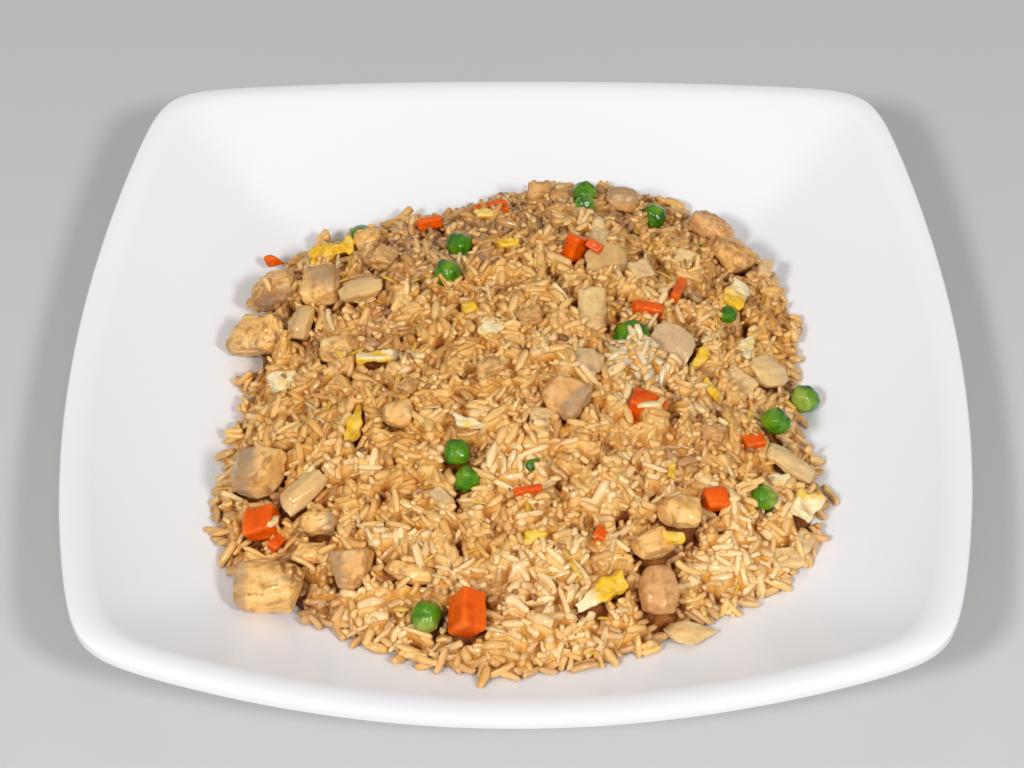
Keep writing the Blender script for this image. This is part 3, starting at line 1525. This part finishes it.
class FRIEDRICE_OT_chicken(bpy.types.Operator):
    """Work the chicken solids into torn and cut meat with browned edges, and add the scraps."""

    bl_idname = "fried_rice.chicken"
    bl_label = "Chicken"

    def execute(self, context):
        settings = context.scene.fried_rice_toppings
        material = chicken_material(settings)
        rng = np.random.default_rng(5)
        for node in nodes_named("chicken"):
            chunk = copied_solid(node, f"{node}_cooked")
            remesh(chunk, 0.4 * MM, 0)
            apply_modifiers(chunk)
            look = CHUNK_LOOKS.get(node, ChunkLook())
            carve(chunk, rng, look.cuts, 0.62, 0.88)
            make_rounder(chunk, look.roundness)
            relax(chunk, 3)
            displace(chunk, f"{node}_lumps", 5 * MM, look.lumps * MM)
            displace(chunk, f"{node}_torn", 1.4 * MM, look.torn * MM)
            apply_modifiers(chunk)
            raise_fibres(chunk, look.fibres * MM, 2.3 * MM, rng.uniform(0, 50))
            smooth_faces(chunk)
            paint_shape(chunk)
            paint_side(chunk, "grey", *GREY_SIDES.get(node, ((0, 0, -1), 0.6, 1.2)))
            paint_side(chunk, "brown", *BROWN_SIDES.get(node, ((0, 0, -1), 0.7, 1.4)))
            paint(chunk, "pink", look.pink)
            finish_piece(chunk, material, "chicken", node)
        add_scraps("chicken", CHICKEN_SCRAPS, work_chicken_scrap, material)
        return {"FINISHED"}


class ChunkLook(NamedTuple):
    """How a chunk is worked: cuts, depths (mm) of lumps, tears and fibres, how pink and how round it is."""

    cuts: int = 6
    lumps: float = 0.9
    torn: float = 0.35
    fibres: float = 0.16
    pink: float = 0.0
    roundness: float = 0.0


CHUNK_LOOKS = {
    "chicken_1": ChunkLook(6, 0.9, 0.35, 0.3, 0),
    "chicken_2": ChunkLook(4, 1.8, 1.0, 0.1, 0.3, 0.2),
    "chicken_6": ChunkLook(5, 0.7, 0.2, 0.12, 0),
    "chicken_10": ChunkLook(6, 1.2, 0.3, 0.16, 0.4),
    "chicken_12": ChunkLook(4, 1.1, 0.2, 0.06, 0.8, 0.5),
    "chicken_13": ChunkLook(5, 0.8, 0.15, 0.1, 0),
    "chicken_14": ChunkLook(5, 0.8, 0.15, 0.1, 0.1),
    "chicken_15": ChunkLook(4, 0.8, 0.15, 0.12, 0.4),
    "chicken_16": ChunkLook(4, 1.5, 0.6, 0.12, 0.6, 0.2),
    "chicken_17": ChunkLook(4, 1.5, 0.6, 0.12, 0.1, 0.2),
    "chicken_18": ChunkLook(2, 1.2, 0.6, 0.05, 0.2, 0.6),
    "chicken_19": ChunkLook(4, 0.6, 0.12, 0.1, 0, 0),
}
# The side of a chunk that is grey or browned, and where that starts and is full, as a share of half its size
GREY_SIDES = {
    "chicken_3": ((0, 0.2, 1), 0.1, 0.8),
    "chicken_6": ((-1, 0, 0.2), 0.05, 0.5),
    "chicken_7": ((-1, 0, 0), 0.45, 0.8),
    "chicken_8": ((1, 0, 0), 0.2, 0.6),
    "chicken_10": ((-1, -0.2, 0), 0.2, 0.7),
    "chicken_15": ((0.7, -0.7, 0), 0.0, 0.3),
    "chicken_18": ((0, 0, 1), -0.2, 0.8),
    "chicken_2": ((0, -1, -0.2), 0.1, 0.8),
}
BROWN_SIDES = {
    "chicken_7": ((0.6, 0.5, 0.7), 0.35, 0.8),
    "chicken_12": ((0.2, 0.8, 0.2), 0.6, 1.2),
    "chicken_1": ((-1, -0.3, 0), 0.5, 1.1),
    "chicken_17": ((0, 0, 1), 0.5, 1.1),
    "chicken_16": ((0.3, 0.8, 0.5), 0.3, 1.0),
    "chicken_13": ((0.2, 0.5, 0.6), 0.4, 1.1),
}


def work_chicken_scrap(block, number):
    """Tears a block to a shred of meat."""
    remesh(block, 0.34 * MM, 1)
    apply_modifiers(block)
    carve(block, np.random.default_rng(number), 6)
    displace(block, f"chicken_scrap_lumps_{number}", 3.2 * MM, 1.8 * MM)
    displace(block, f"chicken_scrap_torn_{number}", 1.2 * MM, 0.35 * MM)
    apply_modifiers(block)
    raise_fibres(block, 0.35 * MM, 2 * MM, number)
    smooth_faces(block)
    paint_shape(block)
    paint(block, "grey", 0.15)
    paint(block, "pink", 0.2)
    paint(block, "brown", 0.35)


def chicken_material(settings):
    sheen = {"IOR": 1.37, "Specular_Tint": WARM_SHEEN}
    made = Finish("chicken_meat", roughness=0.38, **sheen, **wet(0.25, 0.14), **soft(0.6, 1.8))
    own = made.node("ShaderNodeAttribute", attribute_name="own").outputs["Vector"]
    fibres = made.noise(330, 4, stretch=(0.22, 1, 1), distortion=0.4, vector=own)
    cloud = made.noise(130, 3)
    meat = made.ramp(
        fibres,
        (0.3, darker(settings.chicken, 0.82)),
        (0.5, settings.chicken),
        (0.72, blended(settings.chicken, (1, 0.78, 0.42), 0.6)),
    )
    meat = made.mix(made.remap(cloud, 0.4, 0.7, 0.0, 0.25), meat, (0.98, 0.72, 0.36))
    meat = made.mix(made.math("MULTIPLY", made.attribute("pink"), 0.9), meat, (0.66, 0.32, 0.14))
    grey = made.math("MULTIPLY", made.attribute("grey"), made.remap(cloud, 0.3, 0.6, 0.55, 0.95))
    meat = made.mix(grey, meat, (0.42, 0.28, 0.17))
    meat = made.mix(made.patchy("brown", 420, 4, 0.42, 0.58, 0.1, 1.0), meat, settings.browned)
    proud = made.attribute("proud")
    broken = made.remap(made.noise(240, 3), 0.4, 0.56)
    rim = made.math("MULTIPLY", made.remap(proud, 0.53, 0.7, 0.0, 0.9), broken)
    meat = made.mix(rim, meat, blended(settings.browned, settings.chicken, 0.25))
    meat = made.mix(made.remap(proud, 0.45, 0.15, 0.0, 0.75), meat, (0.36, 0.16, 0.045))
    made.bump(fibres, 0.45 * MM, 0.8)
    made.bump(made.noise(1300, 2), 0.1 * MM, 0.5)
    return made.finish(meat, made.remap(fibres, 0.35, 0.7, 0.3, 0.5))


class FRIEDRICE_OT_onions(bpy.types.Operator):
    """Round and crease the onion petals, and add the onion scraps."""

    bl_idname = "fried_rice.onions"
    bl_label = "Onions"

    def execute(self, context):
        settings = context.scene.fried_rice_toppings
        material = onion_material(settings)
        rng = np.random.default_rng(9)
        for node in nodes_named("onion"):
            petal = copied_solid(node, f"{node}_cooked")
            look = PETAL_LOOKS.get(node, PetalLook())
            remesh(petal, 0.36 * MM, look.rounding)
            displace(petal, f"{node}_bow", 5 * MM, look.bow * MM)
            displace(petal, f"{node}_crease", 3 * MM, 0.5 * MM)
            apply_modifiers(petal)
            if look.cuts:
                carve(petal, rng, look.cuts, 0.6, 0.85)
            if node in TAPERS:
                taper(petal, *TAPERS[node])
            if look.boxiness:
                make_boxier(petal, look.boxiness)
            if look.ridges:
                raise_fibres(petal, look.ridges * MM, 1.5 * MM, 3.0)
            smooth_faces(petal)
            paint_shape(petal)
            paint(petal, "grey", look.grey)
            paint(petal, "amber", look.amber)
            paint_side(petal, "brown", look.seared, 0.55, 0.95)
            finish_piece(petal, material, "onion", node)
        add_scraps("onion", ONION_SCRAPS, work_onion_scrap, material)
        return {"FINISHED"}


class PetalLook(NamedTuple):
    """How a petal is worked: smoothing, bow and ridges (mm), cuts, seared side, how boxy, grey and amber."""

    rounding: int = 5
    bow: float = 1.6
    ridges: float = 0.0
    cuts: int = 0
    grey: float = 0.2
    seared: tuple = (0, 0, -1)
    boxiness: float = 0.0
    amber: float = 0.0


PETAL_LOOKS = {
    "onion_1": PetalLook(6, 0.8, 0.0, 0, 0.1, (1, 0.4, 0), 0.15, 0.25),
    "onion_2": PetalLook(4, 0.8, 0.0, 3, 0.2, (0, -1, -0.6), 0, 0.3),
    "onion_3": PetalLook(2, 0.3, 0.3, 0, 0.0, (0, 0, -1), 0.6),
    "onion_4": PetalLook(5, 1.6, 0.0, 2, 0.1, (0, 0, -1), 0, 0.55),
    "onion_5": PetalLook(5, 1.4, 0.0, 2, 0.9, (0, 0, -1)),
    "onion_6": PetalLook(5, 1.2, 0.1, 2, 0.1, (0, 0, -1), 0, 0.25),
    "onion_7": PetalLook(5, 1.4, 0.0, 2, 0.7, (0, 0, -1)),
    "onion_8": PetalLook(6, 1.0, 0.0, 0, 0.1, (0.3, 1, 0)),
    "onion_10": PetalLook(3, 1.2, 0.15, 5, 0.1, (-1, 0.4, 0)),
}


def work_onion_scrap(block, number):
    """Bows a flake to a bit of onion."""
    remesh(block, 0.34 * MM, 5)
    displace(block, f"onion_scrap_bow_{number}", 4 * MM, 2 * MM)
    apply_modifiers(block)
    smooth_faces(block)
    paint_shape(block)
    paint(block, "grey", 0.3)
    paint(block, "brown", 0)


def onion_material(settings):
    sheen = {"IOR": 1.38, "Specular_Tint": WARM_SHEEN}
    made = Finish("onion_flesh", roughness=0.24, **sheen, **wet(0.25, 0.08), **soft(0.9, 2.2))
    own = made.node("ShaderNodeAttribute", attribute_name="own").outputs["Vector"]
    veins = made.noise(620, 2, stretch=(0.1, 1, 1), distortion=0.1, vector=own)
    flesh = made.ramp(
        veins,
        (0.3, darker(settings.onion, 0.95)),
        (0.5, settings.onion),
        (0.72, blended(settings.onion, (0.98, 0.86, 0.6), 0.25)),
    )
    flesh = made.mix(made.remap(made.noise(90, 3), 0.42, 0.7, 0.0, 0.6), flesh, (0.62, 0.42, 0.23))
    flesh = made.mix(made.math("MULTIPLY", made.attribute("grey"), 0.7), flesh, (0.6, 0.4, 0.25))
    flesh = made.mix(made.attribute("amber"), flesh, (0.56, 0.32, 0.1))
    proud = made.remap(made.attribute("proud"), 0.6, 0.9, 0.0, 0.6)
    rim = made.math("MULTIPLY", proud, made.remap(made.noise(150, 3), 0.45, 0.62))
    flesh = made.mix(rim, flesh, (0.42, 0.22, 0.07))
    flesh = made.mix(made.patchy("brown", 400, 3, 0.4, 0.6, 0.2, 0.9), flesh, (0.4, 0.17, 0.04))
    made.bump(veins, 0.12 * MM, 0.5)
    return made.finish(flesh, made.remap(veins, 0.35, 0.7, 0.2, 0.36))


class FRIEDRICE_OT_eggs(bpy.types.Operator):
    """Curdle the egg strips, and add the egg scraps and shreds."""

    bl_idname = "fried_rice.eggs"
    bl_label = "Eggs"

    def execute(self, context):
        settings = context.scene.fried_rice_toppings
        material = egg_material(settings)
        for node in nodes_named("egg"):
            curd = copied_solid(node, f"{node}_cooked")
            remesh(curd, 0.36 * MM, 2)
            displace(curd, f"{node}_folds", 4 * MM, EGG_FOLDS.get(node, 2.6 * MM))
            displace(curd, f"{node}_curds", 1.5 * MM, 0.25 * MM)
            apply_modifiers(curd)
            if node in TAPERS:
                taper(curd, *TAPERS[node])
            smooth_faces(curd)
            paint_shape(curd)
            paint_side(curd, "white", *WHITE_SIDES.get(node, ((0, 0, -1), 0.9, 1.6)))
            paint_side(curd, "brown", *SEARED_SIDES.get(node, ((0, 0, -1), 0.9, 1.6)))
            finish_piece(curd, material, "egg", node)
        add_scraps("egg", EGG_SCRAPS, work_egg_scrap, material)
        return {"FINISHED"}


# How deep a strip's folds are, and its white and seared sides as for the chunks
EGG_FOLDS = {"egg_1": 1.0 * MM, "egg_5": 1.3 * MM, "egg_2": 3.4 * MM}
WHITE_SIDES = {
    "egg_6": ((0, -1, -0.5), -0.9, 0.2),
    "egg_3": ((-1, -0.8, 0), 0.1, 1.0),
    "egg_4": ((0, 0.4, -1), -0.9, 0.5),
    "egg_5": ((-0.3, 0, 1), -0.2, 1.1),
}
SEARED_SIDES = {"egg_5": ((1, 0, 0), 0.2, 0.6), "egg_1": ((0, -1, 0), 0.7, 1.2)}


def work_egg_scrap(block, number):
    """Folds and tears a flake to a bit of egg."""
    remesh(block, 0.3 * MM, 2)
    apply_modifiers(block)
    carve(block, np.random.default_rng(number + 40), 7, 0.55, 0.85)
    displace(block, f"egg_scrap_folds_{number}", 3 * MM, 1.6 * MM)
    displace(block, f"egg_scrap_curds_{number}", 1.4 * MM, 0.15 * MM)
    apply_modifiers(block)
    smooth_faces(block)
    paint_shape(block)
    white = 0.72 if number in WHITE_EGG_SCRAPS else 0.15
    paint(block, "white", white)
    paint(block, "brown", 0)


def egg_material(settings):
    sheen = {"IOR": 1.42, "Specular_Tint": WARM_SHEEN}
    made = Finish("cooked_egg", roughness=0.36, **sheen, **wet(0.15, 0.12), **soft(0.6))
    yellow = made.ramp(
        made.noise(330, 4),
        (0.3, darker(settings.egg, 0.75)),
        (0.5, settings.egg),
        (0.75, blended(settings.egg, (1, 0.85, 0.42), 0.55)),
    )
    ragged = made.math("ADD", made.attribute("white"), made.remap(made.noise(260, 3), 0.3, 0.7, -0.4, 0.4))
    white = made.remap(ragged, 0.25, 0.75)
    colour = made.mix(white, yellow, settings.egg_white)
    colour = made.mix(made.patchy("brown", 380, 3, 0.35, 0.55, 0.3, 1.0), colour, (0.2, 0.055, 0.015))
    colour = made.mix(made.remap(made.attribute("proud"), 0.42, 0.1, 0.0, 0.45), colour, (0.6, 0.3, 0.06))
    made.bump(made.noise(1000, 3), 0.15 * MM, 0.6)
    return made.finish(colour)


class FRIEDRICE_OT_seasoning(bpy.types.Operator):
    """Scatter pepper, toasted crumbs and shreds of egg over the rice."""

    bl_idname = "fried_rice.seasoning"
    bl_label = "Seasoning"

    def execute(self, context):
        rng = np.random.default_rng(21)
        bed, _ = laid_rice()
        speck = add_primitive("speck_shape", bpy.ops.mesh.primitive_ico_sphere_add, subdivisions=1, radius=1)
        add_pepper(bed, speck, rng)
        add_toasted_crumbs(bed, speck, rng)
        bpy.data.objects.remove(speck)
        add_egg_shreds(bed, rng)
        return {"FINISHED"}


def add_pepper(bed, speck, rng):
    """Fine dark specks over all the rice."""
    places = spots_on_rice(bed, PEPPER_SPECKS, rng)
    width = rng.uniform(0.16, 0.42, PEPPER_SPECKS) * MM
    sizes = np.stack([width, width * 0.8, width * 0.5], 1)
    pepper = scattered("pepper", [speck], places, rng.uniform(0, 3, (PEPPER_SPECKS, 3)), sizes, rng)
    made = Finish("pepper", roughness=0.6)
    ground_black = made.ramp(made.noise(800), (0.4, (0.03, 0.015, 0.008)), (0.7, (0.12, 0.06, 0.03)))
    finish_piece(pepper, made.finish(ground_black), "rice")


def add_toasted_crumbs(bed, speck, rng):
    """Brown bits from the pan, half sunk between the grains."""
    places = spots_on_rice(bed, TOASTED_CRUMBS, rng)
    places[:, 2] -= 0.2 * MM
    width = rng.uniform(0.5, 1.3, TOASTED_CRUMBS) * MM
    sizes = np.stack([width * 1.6, width, width * 0.6], 1)
    crumbs = scattered("toasted_crumbs", [speck], places, rng.uniform(0, 3, (TOASTED_CRUMBS, 3)), sizes, rng)
    made = Finish("toasted_crumb", roughness=0.5)
    toasted = made.ramp(made.noise(260), (0.35, (0.22, 0.08, 0.02)), (0.6, (0.42, 0.18, 0.05)))
    finish_piece(crumbs, made.finish(toasted), "rice")
    smooth_faces(crumbs)


def add_egg_shreds(bed, rng):
    """Thin curled shreds of egg, half of them white."""
    count = EGG_SHREDS
    shred = grain_shape(11, 0.8)
    places = spots_on_rice(bed, count, rng)
    length = rng.uniform(1.6, 4.2, count) * MM
    sizes = np.stack([length, rng.uniform(0.45, 0.9, count) * MM, np.full(count, 0.4 * MM)], 1)
    turns = lying_turns(count, rng)
    white = (rng.random(count) < 0.5).astype(float)
    shreds = scattered("egg_shreds", [shred], places, turns, sizes, rng, white=white)
    finish_piece(shreds, bpy.data.materials["cooked_egg"], "egg")
    bpy.data.objects.remove(shred)


# ---------------------------------------------------------------- stage


class FRIEDRICE_OT_stage(bpy.types.Operator):
    """Set up the floor, the lights and the camera."""

    bl_idname = "fried_rice.stage"
    bl_label = "Stage"

    def execute(self, context):
        settings = context.scene.fried_rice_stage
        floor = add_primitive("floor", bpy.ops.mesh.primitive_plane_add, size=6)
        made = Finish("floor", roughness=0.7)
        shade = made.ramp(made.noise(3, 2), (0.3, darker(settings.floor, 0.985)), (0.7, settings.floor))
        floor.data.materials.append(made.finish(shade))
        for name, place, size, share in (
            ("lamp_left", (-0.62, -1.0, 1.08), 0.22, 1.1),
            ("lamp_right", (0.66, -0.95, 1.08), 0.22, 0.98),
            ("lamp_back", (0.0, 0.5, 1.7), 0.9, 0.14),
        ):
            data = bpy.data.lights.new(name, "AREA")
            data.energy = settings.lamp_power * share
            data.size = size
            lamp = bpy.data.objects.new(name, data)
            lamp.location = place
            lamp.rotation_euler = (-Vector(place)).to_track_quat("-Z", "Y").to_euler()
            context.scene.collection.objects.link(lamp)
        world = bpy.data.worlds.new("soft_sky")
        world.use_nodes = True
        world.node_tree.nodes["Background"].inputs["Strength"].default_value = settings.sky
        world.node_tree.nodes["Background"].inputs["Color"].default_value = (1, 1, 1, 1)
        context.scene.world = world
        context.scene.view_settings.view_transform = "Standard"
        add_camera(settings)
        return {"FINISHED"}


def add_camera(settings):
    """Stands the camera in front of the plate's near side, a little to the right."""
    flat, rise = math.cos(settings.elevation), math.sin(settings.elevation)
    back = Vector((math.sin(CAMERA_YAW) * flat, -math.cos(CAMERA_YAW) * flat, rise))
    level = (-back).cross(Vector((0, 0, 1))).normalized()
    right = math.cos(CAMERA_ROLL) * level + math.sin(CAMERA_ROLL) * level.cross(-back)
    turn = Matrix((right, back.cross(right), back)).transposed()
    data = bpy.data.cameras.new("camera")
    data.lens = settings.lens
    data.sensor_width = 36
    data.clip_start = 0.01
    camera = bpy.data.objects.new("camera", data)
    camera.matrix_world = Matrix.Translation(CAMERA_TARGET + back * settings.distance) @ turn.to_4x4()
    bpy.context.scene.collection.objects.link(camera)
    bpy.context.scene.camera = camera


class FRIEDRICE_PT_panel(bpy.types.Panel):
    """Lists the plate's pieces in the sidebar."""

    bl_idname = "FRIEDRICE_PT_panel"
    bl_label = "Fried Rice Plate"
    bl_space_type = "VIEW_3D"
    bl_region_type = "UI"
    bl_category = "Fried Rice"

    def draw(self, context):
        for operator in OPERATORS:
            self.layout.operator(operator.bl_idname)
        for group in GROUPS:
            settings = getattr(context.scene, group)
            for name in settings.bl_rna.properties.keys():
                if name not in ("rna_type", "name"):
                    self.layout.prop(settings, name)


GROUPS = {
    "fried_rice_plate": PlateSettings,
    "fried_rice_grains": RiceSettings,
    "fried_rice_toppings": ToppingSettings,
    "fried_rice_stage": StageSettings,
}
OPERATORS = (
    FRIEDRICE_OT_plate,
    FRIEDRICE_OT_core,
    FRIEDRICE_OT_grains,
    FRIEDRICE_OT_peas,
    FRIEDRICE_OT_carrots,
    FRIEDRICE_OT_chicken,
    FRIEDRICE_OT_onions,
    FRIEDRICE_OT_eggs,
    FRIEDRICE_OT_seasoning,
    FRIEDRICE_OT_stage,
)


def register():
    for made in (*GROUPS.values(), *OPERATORS, FRIEDRICE_PT_panel):
        bpy.utils.register_class(made)
    for name, settings in GROUPS.items():
        setattr(bpy.types.Scene, name, PointerProperty(type=settings))


def unregister():
    for name in GROUPS:
        delattr(bpy.types.Scene, name)
    for made in (FRIEDRICE_PT_panel, *reversed(OPERATORS), *reversed(GROUPS.values())):
        bpy.utils.unregister_class(made)


def main():
    register()
    bpy.ops.fried_rice.plate()
    bpy.ops.fried_rice.core()
    bpy.ops.fried_rice.grains()
    bpy.ops.fried_rice.peas()
    bpy.ops.fried_rice.carrots()
    bpy.ops.fried_rice.chicken()
    bpy.ops.fried_rice.onions()
    bpy.ops.fried_rice.eggs()
    bpy.ops.fried_rice.seasoning()
    bpy.ops.fried_rice.stage()


if __name__ == "__main__":
    main()
